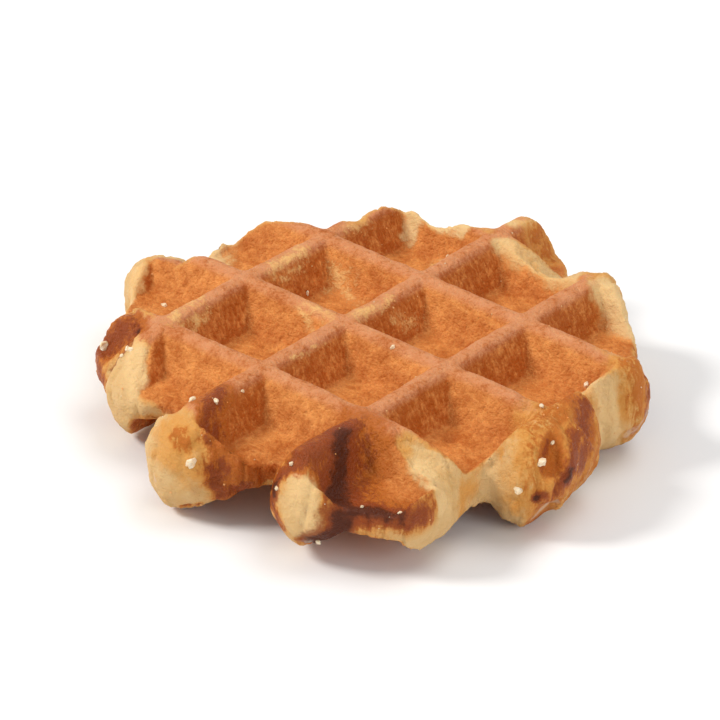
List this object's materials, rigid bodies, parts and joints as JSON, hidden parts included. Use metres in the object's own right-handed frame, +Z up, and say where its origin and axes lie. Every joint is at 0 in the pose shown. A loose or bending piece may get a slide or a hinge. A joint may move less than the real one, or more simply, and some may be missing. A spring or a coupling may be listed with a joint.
{
  "type": "waffle",
  "caption": "Small thick sugar waffle with deep square pockets between crossing ridges on both faces and an uneven, lobed free edge, lying flat.",
  "frame": {"origin": "under the middle of the waffle's bounding box, on the surface that its lower ridges rest on", "axes": "+Z up through the waffle's thickness; +X along one set of ridges and +Y along the other"},
  "size_m": [0.098, 0.104, 0.0196],
  "materials": {
    "crust": "baked dough, golden brown, slightly glazed where sugar melted"
  },
  "bodies": {
    "root": {"waffle": "crust"}
  },
  "joints": []
}
